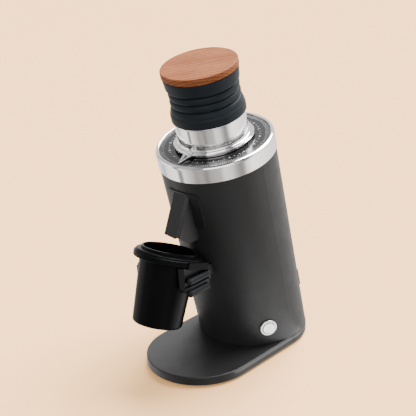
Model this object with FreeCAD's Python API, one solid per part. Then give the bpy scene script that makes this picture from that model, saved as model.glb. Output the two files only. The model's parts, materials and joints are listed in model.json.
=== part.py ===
import FreeCAD, Part
import math
import os

from FreeCAD import Placement, Rotation, Vector

# A single-dose burr coffee grinder, in millimetres.
# +Z is up, -Y is the front, where the cup hangs, and +X is the side with the power button.
# The shapes are drawn about the middle of the base plate. They are saved MIDDLE_Y further back, so
# that the origin is on the table under the middle of the whole grinder.
#
# Two tilted frames are used as well. The column's frame has its origin at the middle of the outer
# ring's top and its Z axis up the leaning column. The cup's frame has its origin at the middle of
# the cup's lip and its Z axis up the cup.

MIDDLE_Y = 12.96

# Stand
FOOT_HEIGHT = 2.0
FOOT_RADIUS = 9.0
FOOT_RECESS = 0.8
BASE_RADIUS = 58.5
BASE_CENTRES = 84.2
BASE_THICKNESS = 9.6
BASE_TOP = FOOT_HEIGHT + BASE_THICKNESS
COLUMN_FOOT_Y = 40.9

# Column, in its own frame
LEAN = 12.1
HEAD_Y = -7.3
HEAD_Z = 237.0
RING_HEIGHT = 17.6
RING_RADIUS = 61.0
RING_BORE = 57.3
COLUMN_TOP_RADIUS = 60.0
COLUMN_FOOT_RADIUS = 58.2
COLUMN_LENGTH = 213.0
COLUMN_SEAM = 0.4
SHELL_WALL = 2.5
SHELL_LIP_TOP = -20.0

# Dial, collar, bellows and lid, in the column's frame
DIAL_TOP = -1.5
DIAL_BOTTOM = -5.5
DIAL_BORE = 39.3
DIAL_TICKS = 180
DIAL_TICK_RADII = (51.8, 56.2)
DIAL_TICK_HALF_WIDTH = 0.22
DIAL_TICK_DEPTH = 0.15
COLLAR_FLANGE_RADIUS = 41.0
COLLAR_FLANGE_BOTTOM = 1.6
COLLAR_FLANGE_TOP = 3.5
COLLAR_SKIRT_RADIUS = 38.4
COLLAR_SKIRT_BOTTOM = -7.0
NECK_RADIUS = 36.0
SPIGOT_RADIUS = 35.0
SPIGOT_TOP = 43.0
CUFF_BOTTOM = 28.0
BELLOWS_TOP = 75.0
LID_RADIUS = 38.8
LID_THICKNESS = 7.0
POINTER_ANGLE = -88.0
POINTER_LENGTH = 14.2
POINTER_HALF_WIDTH = 5.2
POINTER_BAR_WIDTH = 2.9
POINTER_THICKNESS = 1.4
POINTER_SLOPE = 8.8

# Grinding set, in the column's frame
THREAD_BORE = 41.0
CHAMBER_BORE = 41.4
CHAMBER_FLANGE_RADIUS = 57.0
BURR_RADIUS = 32.0
BURR_BORE = 19.2
UPPER_BURR_TOP = -33.4
UPPER_BURR_FACE = -41.0
LOWER_BURR_FACE = -41.8
LOWER_BURR_BOTTOM = -49.0
GRIND_BORE = 36.6
CHAMBER_FLOOR = -57.0
EXIT_WIDTH = 18.0
EXIT_TOP = -44.5
EXIT_BOTTOM = -56.5

# Motor and shaft, in the column's frame
SHAFT_RADIUS = 5.0
BEARING_RADIUS = 13.0
BEARING_WIDTH = 8.0
MOTOR_TOP = -79.0
MOTOR_BOTTOM = -160.0
MOTOR_RADIUS = 41.0

# Chute and its plate
PLATE_THICKNESS = 1.1
PLATE_HALF_WIDTH = 21.0
PLATE_TOP = 195.4
PLATE_BOTTOM = 157.0
CHUTE_HALF_WIDTH = 10.6
CHUTE_CHAMFER = 2.6
CHUTE_EDGE_RADIUS = 1.4
CHUTE_WALL = 1.8
CHUTE_TOP_Y = -59.5
CHUTE_LIP_Y = -77.2
CHUTE_LIP_Z = 154.6
CHUTE_MOUTH_Y = -62.1
CHUTE_MOUTH_Z = 143.5
CHUTE_BACK_Y = -30.0

# Cup, in its own frame
CUP_TILT = 18.8
CUP_Y = -78.4
CUP_Z = 141.5
CUP_MOUTH_RADIUS = 26.6
CUP_NECK_RADIUS = 28.6
CUP_FOOT_RADIUS = 25.3
CUP_DEPTH = 77.6
CUP_WALL = 1.6
CUP_FLANGE_RADIUS = 35.4
CUP_FLANGE_TOP = -5.4
CUP_FLANGE_BOTTOM = -11.1
EAR_BOTTOM = -12.7
EAR_X = 36.2

# Fork
FORK_CENTRE_Y = -86.0
FORK_BACK_RADIUS = 35.2
FORK_HALF_WIDTH = 34.0
FORK_SLOT = 29.1
FORK_FRONT_Y = -97.4
FORK_LOW_Z = 101.0
FORK_STEP_Z = 121.5
FORK_STEP_Y = -92.5
PAD_RADIUS = 3.5
PAD_X = 34.4
PAD_FRONT_Y = -91.0
PAD_HEIGHTS = {"upper": 118.2, "lower": 105.2}
END_PLATE_Y = (-63.0, -60.6)
FORK_PLATE_Y = -49.8
FORK_PLATE_THICKNESS = 3.0

# Power button and inlet
BUTTON_ANGLE = -29.0
BUTTON_HEIGHT = -202.2
BUTTON_BARREL_RADIUS = 8.0
BUTTON_BEZEL_RADIUS = 9.2
BUTTON_CAP_RADIUS = 6.6
INLET_HEIGHT = -203.0

X_AXIS = Vector(1, 0, 0)
Y_AXIS = Vector(0, 1, 0)
Z_AXIS = Vector(0, 0, 1)


# ---------------------------------------------------------------- helpers
def cylinder(radius, low, high, x=0.0, y=0.0):
    return Part.makeCylinder(radius, high - low, Vector(x, y, low))


def tube(outer, inner, low, high, x=0.0, y=0.0):
    return cylinder(outer, low, high, x, y).cut(cylinder(inner, low, high, x, y))


def block(x, y, z):
    """A box from three pairs of low and high limits."""
    return Part.makeBox(x[1] - x[0], y[1] - y[0], z[1] - z[0], Vector(x[0], y[0], z[0]))


def lathe(outline):
    """Turn a closed outline of (radius, height) points about Z.

    A pair of points stands for an arc: its middle and its end."""
    edges = []
    here = Vector(outline[0][0], 0, outline[0][1])
    for item in outline[1:] + outline[:1]:
        if isinstance(item[0], tuple):
            middle = Vector(item[0][0], 0, item[0][1])
            end = Vector(item[1][0], 0, item[1][1])
            edges.append(Part.Arc(here, middle, end).toShape())
        else:
            end = Vector(item[0], 0, item[1])
            edges.append(Part.makeLine(here, end))
        here = end
    return Part.Face(Part.Wire(edges)).revolve(Vector(), Z_AXIS, 360)


def side_prism(points, half_width):
    """A closed outline of (y, z) points, made half_width thick to each side of X = 0."""
    corners = [Vector(-half_width, y, z) for y, z in points]
    face = Part.Face(Part.makePolygon(corners + corners[:1]))
    return face.extrude(Vector(2 * half_width, 0, 0))


def rounded_panel(half_width, low, high, corner, y_front, y_back):
    """A slab that faces -Y, with four round corners."""
    slab = block((-half_width, half_width), (y_front, y_back), (low, high))
    upright = [e for e in slab.Edges if abs(e.Vertexes[0].Y - e.Vertexes[1].Y) > 1.0]
    return slab.makeFillet(corner, upright)


def hexagon(across_flats, low, high):
    radius = across_flats / math.sqrt(3)
    corners = [Vector(radius * math.cos(math.radians(60 * i)),
                      radius * math.sin(math.radians(60 * i)), low) for i in range(6)]
    return Part.Face(Part.makePolygon(corners + corners[:1])).extrude(Vector(0, 0, high - low))


def placed(shape, placement):
    copy = shape.copy()
    copy.Placement = placement.multiply(copy.Placement)
    return copy


def lean(shape):
    """From the column's frame to the grinder's."""
    return placed(shape, Placement(Vector(0, HEAD_Y, HEAD_Z), Rotation(X_AXIS, LEAN)))


def hang(shape):
    """From the cup's frame to the grinder's."""
    return placed(shape, Placement(Vector(0, CUP_Y, CUP_Z), Rotation(X_AXIS, -CUP_TILT)))


def turned(shape, angle):
    return placed(shape, Placement(Vector(), Rotation(Z_AXIS, angle)))


def around(shape, angles):
    """Copies of one shape, turned about Z."""
    return [turned(shape, angle) for angle in angles]


def join(shapes):
    whole = shapes[0]
    for shape in shapes[1:]:
        whole = whole.fuse(shape)
    return whole.removeSplitter()


def carve(shape, tools):
    for tool in tools:
        shape = shape.cut(tool)
    return shape


def group(shapes):
    return Part.makeCompound(shapes)


def largest(shape):
    return max(shape.Solids, key=lambda solid: solid.Volume)


def column_radius(height):
    slope = (COLUMN_TOP_RADIUS - COLUMN_FOOT_RADIUS) / COLUMN_LENGTH
    return COLUMN_TOP_RADIUS + slope * (height + RING_HEIGHT)


def column_core(offset, low, high):
    """A length of the tapered column, made larger or smaller by an offset."""
    return Part.makeCone(column_radius(low) + offset, column_radius(high) + offset,
                         high - low, Vector(0, 0, low))


def save(name, shape):
    if not shape.isValid() or not shape.Solids:
        raise ValueError(name + " is not a sound solid")
    shape = placed(shape, Placement(Vector(0, MIDDLE_Y, 0), Rotation()))
    shape.exportStep("parts/" + name + ".step")
    print(name, len(shape.Solids), "solid(s)", round(shape.Volume / 1000.0, 2), "cm3")


# ---------------------------------------------------------------- stand
BASE_SCREW_CIRCLE = 47.0
BASE_SCREW_ANGLES = (45, 135, 225, 315)
FOOT_RING_HEIGHT = 7.0
VENT_RADIUS = 3.0
VENT_CIRCLE = 26.0
VENT_COUNT = 10


def base_screw_places():
    places = []
    for angle in BASE_SCREW_ANGLES:
        x = BASE_SCREW_CIRCLE * math.cos(math.radians(angle))
        y = COLUMN_FOOT_Y + BASE_SCREW_CIRCLE * math.sin(math.radians(angle))
        places.append((x, y))
    return places


def foot_places():
    return {
        "foot_front_left": (-34.0, -62.0),
        "foot_front_right": (34.0, -62.0),
        "foot_rear_left": (-34.0, 68.0),
        "foot_rear_right": (34.0, 68.0),
    }


def make_base_plate():
    half = BASE_CENTRES / 2
    ends = [cylinder(BASE_RADIUS, FOOT_HEIGHT, BASE_TOP, 0, y) for y in (-half, half)]
    middle = block((-BASE_RADIUS, BASE_RADIUS), (-half, half), (FOOT_HEIGHT, BASE_TOP))
    plate = join(ends + [middle])
    rims = [e for e in plate.Edges if abs(e.Vertexes[0].Z - e.Vertexes[-1].Z) < 0.01]
    plate = plate.makeFillet(1.2, rims)
    cuts = []
    for x, y in foot_places().values():
        cuts.append(cylinder(FOOT_RADIUS + 0.1, 0, FOOT_HEIGHT + FOOT_RECESS, x, y))
    for x, y in base_screw_places():
        cuts.append(cylinder(2.3, 0, BASE_TOP + 1, x, y))
        cuts.append(cylinder(4.4, 0, FOOT_HEIGHT + 4.5, x, y))
    for turn in range(VENT_COUNT):
        angle = 2 * math.pi * turn / VENT_COUNT
        x = VENT_CIRCLE * math.cos(angle)
        y = COLUMN_FOOT_Y + VENT_CIRCLE * math.sin(angle)
        cuts.append(cylinder(VENT_RADIUS, 0, BASE_TOP + 1, x, y))
    return carve(plate, cuts)


def make_foot(x, y):
    pad = cylinder(FOOT_RADIUS, 0, FOOT_HEIGHT + FOOT_RECESS, x, y)
    low_edge = [e for e in pad.Edges if e.BoundBox.ZMax < 0.01]
    return pad.makeChamfer(0.5, low_edge)


def make_base_screws():
    screws = []
    for x, y in base_screw_places():
        head = cylinder(4.0, FOOT_HEIGHT + 1.5, FOOT_HEIGHT + 4.5, x, y)
        socket = hexagon(3.0, FOOT_HEIGHT + 1.5, FOOT_HEIGHT + 3.2)
        socket.translate(Vector(x, y, 0))
        shank = cylinder(2.0, FOOT_HEIGHT + 4.5, BASE_TOP + FOOT_RING_HEIGHT - 1, x, y)
        screws.append(head.fuse(shank).cut(socket))
    return group(screws)


# ---------------------------------------------------------------- column
SHELL_LOW = -250.0
FORK_SCREW_PLACES = ((-10.0, 110.5), (10.0, 110.5))
PLATE_SCREW_PLACES = ((-16.0, 163.0), (16.0, 163.0), (-16.0, 188.0), (16.0, 188.0))
CHAMBER_SCREW_CIRCLE = 51.5
CHAMBER_SCREW_ANGLES = (0, 90, 180, 225, 315)
INLET_HALF_WIDTH = 13.6
INLET_HALF_HEIGHT = 9.9
INLET_SCREW_X = 20.0


def screw_hole(x, z, radius, y_front, y_back):
    """A hole along Y."""
    return Part.makeCylinder(radius, y_back - y_front, Vector(x, y_front, z), Y_AXIS)


def at_button(shape):
    """From the button's frame, whose Z axis points straight out of the column, to the grinder's."""
    turn = math.radians(BUTTON_ANGLE)
    radius = column_radius(BUTTON_HEIGHT)
    seat = Vector(radius * math.cos(turn), radius * math.sin(turn), BUTTON_HEIGHT)
    outward = Rotation(Z_AXIS, BUTTON_ANGLE).multiply(Rotation(Y_AXIS, 90))
    return lean(placed(shape, Placement(seat, outward)))


def at_inlet(shape):
    """From the inlet's frame, whose Y axis points straight out of the column's rear."""
    return lean(placed(shape, Placement(Vector(0, column_radius(INLET_HEIGHT), INLET_HEIGHT),
                                        Rotation())))


def make_body_shell():
    outer = lean(column_core(0, SHELL_LOW, -RING_HEIGHT - COLUMN_SEAM))
    inner = lean(column_core(-SHELL_WALL, SHELL_LOW - 1, -RING_HEIGHT))
    lip = column_core(-SHELL_WALL + 0.2, SHELL_LIP_TOP - 4.0, SHELL_LIP_TOP)
    lip = lip.cut(cylinder(47.5, SHELL_LIP_TOP - 5, SHELL_LIP_TOP + 1))
    lip = carve(lip, around(cylinder(1.7, SHELL_LIP_TOP - 5, SHELL_LIP_TOP + 1,
                                     CHAMBER_SCREW_CIRCLE), CHAMBER_SCREW_ANGLES))
    foot_ring = cylinder(75, BASE_TOP, BASE_TOP + FOOT_RING_HEIGHT, 0, COLUMN_FOOT_Y)
    foot_ring = foot_ring.common(lean(column_core(-SHELL_WALL + 0.2, SHELL_LOW, -150)))
    foot_ring = foot_ring.cut(cylinder(40, BASE_TOP - 1, BASE_TOP + 10, 0, COLUMN_FOOT_Y))
    for x, y in base_screw_places():
        foot_ring = foot_ring.cut(cylinder(2.0, BASE_TOP - 1, BASE_TOP + 10, x, y))
    shell = join([outer.cut(inner), foot_ring, lean(lip)])
    below = block((-90, 90), (-60, 150), (-60, BASE_TOP))
    holes = [below, lean(exit_port(0.3))]
    for x, z in FORK_SCREW_PLACES:
        holes.append(screw_hole(x, z, 2.2, -60, 0))
    for x, z in PLATE_SCREW_PLACES:
        holes.append(screw_hole(x, z, 1.3, -75, -20))
    holes.append(at_button(cylinder(BUTTON_BARREL_RADIUS + 0.05, -12, 8)))
    opening = block((-INLET_HALF_WIDTH - 0.2, INLET_HALF_WIDTH + 0.2), (-20, 20),
                    (-INLET_HALF_HEIGHT - 0.2, INLET_HALF_HEIGHT + 0.2))
    holes.append(at_inlet(opening))
    for side in (-1, 1):
        holes.append(at_inlet(screw_hole(side * INLET_SCREW_X, 0, 1.6, -30, 20)))
    return carve(shell, holes)


def exit_port(gap):
    """The way out of the grinding chamber, towards the front, in the column's frame."""
    half = EXIT_WIDTH / 2 + gap
    return block((-half, half), (-75, -30), (EXIT_BOTTOM - gap, EXIT_TOP + gap))


def make_outer_ring():
    bevel = 0.6
    return lathe([
        (RING_BORE, -RING_HEIGHT),
        (RING_RADIUS - bevel, -RING_HEIGHT),
        (RING_RADIUS, -RING_HEIGHT + bevel),
        (RING_RADIUS, -3.4),
        ((RING_RADIUS - 0.9, -1.0), (RING_RADIUS - 2.6, -0.1)),
        ((RING_RADIUS - 3.4, -0.1), (RING_RADIUS - 4.1, -0.9)),
        (RING_RADIUS - 4.1, -5.6),
        (53.0, -5.6),
        (53.0, -7.6),
        (RING_BORE, -7.6),
    ])


def make_dial_plate():
    outer = RING_RADIUS - 4.3
    plate = lathe([
        (DIAL_BORE, DIAL_BOTTOM),
        (outer, DIAL_BOTTOM),
        (outer, DIAL_TOP),
        (DIAL_BORE + 0.5, DIAL_TOP),
        (DIAL_BORE, DIAL_TOP - 0.5),
    ])
    tick = block(DIAL_TICK_RADII, (-DIAL_TICK_HALF_WIDTH, DIAL_TICK_HALF_WIDTH),
                 (DIAL_TOP - DIAL_TICK_DEPTH, DIAL_TOP + 1))
    return carve(plate, around(tick, [360.0 / DIAL_TICKS * i for i in range(DIAL_TICKS)]))


# ---------------------------------------------------------------- grinding chamber
KEY_ANGLES = (90, 270)
KEY_REACH = 43.2
POST_ANGLES = (30, 150, 90)
POST_CIRCLE = 44.0
HUB_RADIUS = 16.5
SEAL_RADIUS = 9.5


def make_burr_chamber():
    body = lathe([
        (43.5, -6.5),
        (45.6, -6.5),
        (45.6, -14.0),
        (CHAMBER_FLANGE_RADIUS, -14.0),
        (CHAMBER_FLANGE_RADIUS, SHELL_LIP_TOP),
        (45.6, SHELL_LIP_TOP),
        (45.6, -44.0),
        (41.0, -48.0),
        (41.0, -61.5),
        (HUB_RADIUS, -61.5),
        (HUB_RADIUS, -72.0),
        (BEARING_RADIUS, -72.0),
        (BEARING_RADIUS, -61.5),
        (SEAL_RADIUS, -61.5),
        (SEAL_RADIUS, CHAMBER_FLOOR),
        (GRIND_BORE, CHAMBER_FLOOR),
        (GRIND_BORE, -42.6),
        (CHAMBER_BORE, -42.6),
        (CHAMBER_BORE, -20.0),
        (43.5, -20.0),
    ])
    spout = block((-EXIT_WIDTH / 2 - 2, EXIT_WIDTH / 2 + 2), (-70, -38),
                  (EXIT_BOTTOM - 2, EXIT_TOP + 2))
    spout = spout.common(column_core(-SHELL_WALL - 0.2, -75, -30))
    posts = around(cylinder(5.0, -74.0, -46.0, POST_CIRCLE), POST_ANGLES)
    whole = join([body, spout] + posts)
    cuts = [exit_port(0)]
    cuts += around(block((40.0, KEY_REACH + 0.2), (-3.0, 3.0), (-42.6, -20.0)), KEY_ANGLES)
    cuts += around(cylinder(1.7, -21, -13, CHAMBER_SCREW_CIRCLE), CHAMBER_SCREW_ANGLES)
    cuts += around(cylinder(1.65, -75, -62, POST_CIRCLE), POST_ANGLES)
    return carve(whole, cuts)


def make_chamber_screws():
    head = cylinder(2.9, -14.0, -11.4, CHAMBER_SCREW_CIRCLE)
    shank = cylinder(1.65, -25.0, -14.0, CHAMBER_SCREW_CIRCLE)
    socket = placed(hexagon(2.5, -12.9, -11.0), Placement(Vector(CHAMBER_SCREW_CIRCLE, 0, 0),
                                                          Rotation()))
    return group(around(head.fuse(shank).cut(socket), CHAMBER_SCREW_ANGLES))


def make_thread_ring():
    ring = tube(43.45, THREAD_BORE, -20.0, -6.6)
    pitch = 1.5
    turns = [lathe([(THREAD_BORE - 0.1, -18.4 + pitch * i), (THREAD_BORE + 0.55, -18.0 + pitch * i),
                    (THREAD_BORE - 0.1, -17.6 + pitch * i)]) for i in range(7)]
    return carve(ring, turns)


def make_wave_spring():
    """Stacked thin rings that touch at crests, which alternate from ring to ring."""
    leaves = [tube(40.4, 37.0, low, low + 0.8) for low in (-42.5, -40.1, -37.7, -35.3)]
    crests = []
    for level, low in enumerate((-41.7, -39.3, -36.9)):
        crest = tube(40.4, 37.0, low, low + 1.6)
        wedge = block((0, 50), (-6, 6), (low, low + 1.6))
        angles = [120 * i + 60 * (level % 2) for i in range(3)]
        crests += [crest.common(sector) for sector in around(wedge, angles)]
    return join(leaves + crests)


def make_shaft_seal():
    seal = tube(SEAL_RADIUS - 0.02, SHAFT_RADIUS + 0.6, -61.3, CHAMBER_FLOOR - 0.3)
    lips = [tube(7.0, SHAFT_RADIUS + 0.04, low, low + 0.5) for low in (-58.2, -60.6)]
    return join([seal] + lips)


def make_bearing(top):
    """A deep-groove ball bearing: two races, two shields and a row of balls, as one closed ring."""
    low = top - BEARING_WIDTH
    ring = tube(BEARING_RADIUS - 0.02, SHAFT_RADIUS + 0.03, low, top)
    shield = tube(BEARING_RADIUS - 2.4, SHAFT_RADIUS + 2.4, low - 1, low + 0.7)
    return carve(ring, [shield, placed(shield, Placement(Vector(0, 0, BEARING_WIDTH + 0.3),
                                                         Rotation()))])


# ---------------------------------------------------------------- burrs and turning group
BURR_TEETH = 12
BURR_SCREW_CIRCLE = 26.0
BURR_SCREW_ANGLES = (0, 120, 240)


def make_burr(outer_face, back_face):
    """A flat burr: a toothed face round a coned mouth, and three countersunk screw holes."""
    inward = 1.0 if back_face > outer_face else -1.0
    mouth = outer_face + inward * 3.2
    ring = lathe([
        (BURR_BORE, back_face),
        (BURR_RADIUS, back_face),
        (BURR_RADIUS, outer_face),
        (28.5, outer_face),
        (BURR_BORE, mouth),
    ])
    edge = outer_face - inward * 0.5
    groove = Part.Face(Part.makePolygon([
        Vector(17, -1.6, edge), Vector(17, 1.6, edge),
        Vector(17, 0.2, outer_face + inward * 4.4), Vector(17, -1.6, edge),
    ])).extrude(Vector(14.5, 0, 0))
    teeth = around(groove, [360.0 / BURR_TEETH * i + 15 for i in range(BURR_TEETH)])
    low, high = sorted((outer_face - inward, back_face + inward))
    holes = around(cylinder(1.8, low, high, BURR_SCREW_CIRCLE), BURR_SCREW_ANGLES)
    return carve(ring, teeth + holes)


def make_burr_screws(head_face, inward):
    """Three screws whose heads lie in the burr and whose shanks reach into its carrier."""
    low, high = sorted((head_face, head_face + inward * 8.0))
    shank = cylinder(1.75, low, high, BURR_SCREW_CIRCLE)
    slot_low, slot_high = sorted((head_face - inward * 0.5, head_face + inward * 0.9))
    slot = block((BURR_SCREW_CIRCLE - 2, BURR_SCREW_CIRCLE + 2), (-0.3, 0.3), (slot_low, slot_high))
    return group(around(shank.cut(slot), BURR_SCREW_ANGLES))


def make_upper_burr_carrier():
    disc = lathe([
        (BURR_BORE, UPPER_BURR_TOP),
        (40.6, UPPER_BURR_TOP),
        (40.6, -23.5),
        (BURR_BORE + 2.0, -23.5),
        (BURR_BORE, -25.5),
    ])
    keys = around(block((39.5, KEY_REACH), (-2.6, 2.6), (-32.0, -25.0)), KEY_ANGLES)
    holes = around(cylinder(1.8, -35.0, -27.0, BURR_SCREW_CIRCLE), BURR_SCREW_ANGLES)
    return carve(join([disc] + keys), holes)


def make_lower_burr_carrier():
    disc = lathe([
        (SHAFT_RADIUS, -45.5),
        (11.0, -45.5),
        (BURR_BORE - 0.3, -48.0),
        (BURR_BORE - 0.3, LOWER_BURR_BOTTOM),
        (33.6, LOWER_BURR_BOTTOM),
        (33.6, -53.8),
        (12.0, -56.4),
        (SHAFT_RADIUS, -56.4),
    ])
    wipers = around(block((32.5, 35.9), (-1.2, 1.2), (-56.2, -49.4)), (0, 120, 240))
    roots = around(block((26.0, 33.4), (-1.2, 1.2), (-56.2, -52.0)), (0, 120, 240))
    holes = around(cylinder(1.8, -52.6, -48.0, BURR_SCREW_CIRCLE), BURR_SCREW_ANGLES)
    return carve(join([disc] + wipers + roots), holes)


def make_drive_shaft():
    shaft = cylinder(SHAFT_RADIUS, -183.0, -45.5)
    flat = block((SHAFT_RADIUS - 0.6, SHAFT_RADIUS + 1), (-6, 6), (-184, -171))
    return carve(shaft, [cylinder(2.5, -60, -44), flat])


def make_carrier_bolt():
    washer = cylinder(8.5, -45.5, -44.3)
    head = hexagon(10.0, -44.3, -40.4)
    return join([washer, head, cylinder(2.5, -59.0, -45.5)])


def make_rotor_core():
    core = tube(25.0, SHAFT_RADIUS, -151.0, -87.0)
    slot = cylinder(1.6, -152, -86, 23.0)
    return carve(core, around(slot, [30 * i for i in range(12)]))


def make_cooling_fan():
    hub = tube(9.0, SHAFT_RADIUS, -181.0, -171.0)
    backplate = tube(34.0, SHAFT_RADIUS, -173.0, -171.5)
    blade = block((8.0, 34.0), (-0.7, 0.7), (-181.0, -172.5))
    return join([hub, backplate] + around(blade, [40 * i for i in range(9)]))


# ---------------------------------------------------------------- motor
END_CAP_BOTTOM = -170.0


def make_motor_flange():
    plate = cylinder(50.5, MOTOR_TOP, -74.0)
    cuts = [cylinder(HUB_RADIUS + 0.5, -80, -73)]
    cuts += around(cylinder(1.7, -80, -73, POST_CIRCLE), POST_ANGLES)
    return carve(plate, cuts)


def make_motor_flange_screws():
    head = cylinder(2.9, MOTOR_TOP - 2.6, MOTOR_TOP, POST_CIRCLE)
    shank = cylinder(1.65, MOTOR_TOP, -63.0, POST_CIRCLE)
    return group(around(head.fuse(shank), POST_ANGLES))


def make_motor_can():
    can = tube(MOTOR_RADIUS, MOTOR_RADIUS - 2.0, MOTOR_BOTTOM, MOTOR_TOP)
    bite = cylinder(3.6, MOTOR_TOP - 4, MOTOR_TOP + 1, POST_CIRCLE)
    window = block((30, 50), (-8, 8), (-157.0, -153.0))
    return carve(can, around(bite, POST_ANGLES) + around(window, (30, 90, 150, 210, 270, 330)))


def make_stator():
    stack = tube(MOTOR_RADIUS - 2.1, 25.6, -150.0, -88.0)
    slot = cylinder(2.6, -151, -87, 31.0)
    stack = carve(stack, around(slot, [30 * i for i in range(12)]))
    windings = [tube(35.5, 27.5, low, low + 6.0) for low in (-156.0, -88.0)]
    return join([stack] + windings)


def make_motor_end_cap():
    cap = cylinder(MOTOR_RADIUS, END_CAP_BOTTOM, MOTOR_BOTTOM)
    seat = cylinder(BEARING_RADIUS, -168.4, MOTOR_BOTTOM + 1)
    bore = cylinder(SHAFT_RADIUS + 1.5, END_CAP_BOTTOM - 1, -168)
    vents = around(block((18, 36), (-3, 3), (END_CAP_BOTTOM - 1, MOTOR_BOTTOM + 1)),
                   [45 * i for i in range(8)])
    return carve(cap, [seat, bore] + vents)


# ---------------------------------------------------------------- electronics
BOARD_LOW = BASE_TOP + 12.0
BOARD_HALF_X = 26.0
BOARD_Y = (16.0, 62.0)
STANDOFF_PLACES = ((-22.0, 20.0), (22.0, 20.0), (-22.0, 58.0), (22.0, 58.0))


def make_circuit_board():
    board = block((-BOARD_HALF_X, BOARD_HALF_X), BOARD_Y, (BOARD_LOW, BOARD_LOW + 1.6))
    holes = [cylinder(1.6, BOARD_LOW - 1, BOARD_LOW + 3, x, y) for x, y in STANDOFF_PLACES]
    return carve(board, holes)


def make_board_standoffs():
    posts = []
    for x, y in STANDOFF_PLACES:
        post = cylinder(2.8, BASE_TOP, BOARD_LOW, x, y)
        stub = cylinder(1.5, BOARD_LOW, BOARD_LOW + 3.4, x, y)
        posts.append(post.fuse(stub))
    return group(posts)


def make_board_components():
    top = BOARD_LOW + 1.6
    capacitor = cylinder(7.5, top, top + 18, -13, 30)
    transformer = block((2, 20), (24, 42), (top, top + 14))
    sink = block((-18, 4), (50, 56), (top, top + 16))
    fins = [block((x, x + 1.2), (48.5, 51), (top, top + 16)) for x in (-17, -11, -5, 1)]
    relay = block((10, 18), (46, 60), (top, top + 10))
    return group([capacitor, transformer, join([sink] + fins), relay])


PIN_PLACES = ((-7.0, -2.0), (0.0, 2.0), (7.0, -2.0))


def inlet_pin(x, z, grow):
    return block((x - 1.0 - grow, x + 1.0 + grow), (-27.0, -3.0),
                 (z - 2.0 - grow, z + 2.0 + grow))


def make_power_inlet():
    """A socket for a detachable lead: a flange with a hollow back that fits the round column."""
    plate = rounded_panel(24.5, -11.5, 11.5, 3.0, -6.5, 2.4)
    column = placed(column_core(0.05, SHELL_LOW, -150),
                    Placement(Vector(0, -column_radius(INLET_HEIGHT), -INLET_HEIGHT), Rotation()))
    plate = plate.cut(column)
    body = block((-INLET_HALF_WIDTH, INLET_HALF_WIDTH), (-22, 1.5),
                 (-INLET_HALF_HEIGHT, INLET_HALF_HEIGHT))
    socket = rounded_panel(12.0, -8.0, 8.0, 2.0, -17, 5)
    holes = [screw_hole(side * INLET_SCREW_X, 0, 1.7, -30, 20) for side in (-1, 1)]
    holes += [inlet_pin(x, z, 0.01) for x, z in PIN_PLACES]
    return at_inlet(largest(carve(join([plate, body]), [socket] + holes)))


def make_inlet_pins():
    return group([at_inlet(inlet_pin(x, z, 0)) for x, z in PIN_PLACES])


def make_inlet_screws():
    screws = []
    for side in (-1, 1):
        x = side * INLET_SCREW_X
        head = screw_hole(x, 0, 2.8, 2.4, 3.8)
        shank = screw_hole(x, 0, 1.55, -12, 2.4)
        slot = block((x - 0.35, x + 0.35), (3.0, 5), (-2, 2))
        screws.append(at_inlet(head.fuse(shank).cut(slot)))
    return group(screws)


# ---------------------------------------------------------------- power button
def make_switch_barrel():
    barrel = lathe([
        (BUTTON_CAP_RADIUS + 0.5, -18.0),
        (BUTTON_BARREL_RADIUS, -18.0),
        (BUTTON_BARREL_RADIUS, 0.2),
        (BUTTON_BEZEL_RADIUS, 0.2),
        (BUTTON_BEZEL_RADIUS, 1.2),
        ((BUTTON_BEZEL_RADIUS - 0.35, 1.85), (BUTTON_BEZEL_RADIUS - 1.0, 2.1)),
        (BUTTON_CAP_RADIUS + 0.8, 2.1),
        (BUTTON_CAP_RADIUS + 0.5, 1.8),
    ])
    floor = cylinder(BUTTON_BARREL_RADIUS, -22.0, -18.0)
    contacts = [block((x - 0.4, x + 0.4), (-1.4, 1.4), (-28.0, -22.0)) for x in (-4.5, 0, 4.5)]
    return at_button(join([barrel, floor] + contacts))


def make_switch_nut():
    nut = hexagon(21.0, -8.0, -5.0).cut(cylinder(BUTTON_BARREL_RADIUS, -9, -4))
    washer = tube(11.0, BUTTON_BARREL_RADIUS, -5.0, -4.4)
    return at_button(join([nut, washer]))


def make_button_cap():
    cap = lathe([
        (0, -14.0),
        (2.0, -14.0),
        (2.0, -6.0),
        (BUTTON_CAP_RADIUS, -6.0),
        (BUTTON_CAP_RADIUS, 2.1),
        ((BUTTON_CAP_RADIUS - 0.25, 2.65), (BUTTON_CAP_RADIUS - 0.9, 2.9)),
        (BUTTON_CAP_RADIUS - 2.4, 2.6),
        (0, 2.6),
    ])
    return at_button(cap)


# ---------------------------------------------------------------- chute
def make_chute_plate():
    outer = lean(column_core(PLATE_THICKNESS, -110, -20))
    skin = outer.cut(lean(column_core(0.02, -111, -19)))
    panel = rounded_panel(PLATE_HALF_WIDTH, PLATE_BOTTOM, PLATE_TOP, 5.0, -90, -20)
    tongue = block((-CHUTE_HALF_WIDTH, CHUTE_HALF_WIDTH), (-90, -20),
                   (CHUTE_MOUTH_Z, PLATE_BOTTOM + 8))
    plate = skin.common(join([panel, tongue]))
    holes = [screw_hole(x, z, 1.27, column_front(x, z) - 0.5, -20) for x, z in PLATE_SCREW_PLACES]
    return largest(carve(plate, holes + [lean(exit_port(0.3))]))


def make_chute_plate_screws():
    """Short screws from inside the shell into the plate, with heads against its inner face."""
    screws = []
    for x, z in PLATE_SCREW_PLACES:
        face = column_front(x, z)
        shank = screw_hole(x, z, 1.25, face - 0.4, face + 3.8)
        head = screw_hole(x, z, 2.4, face + 3.8, face + 5.4)
        screws.append(head.fuse(shank))
    return group(screws)


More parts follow.
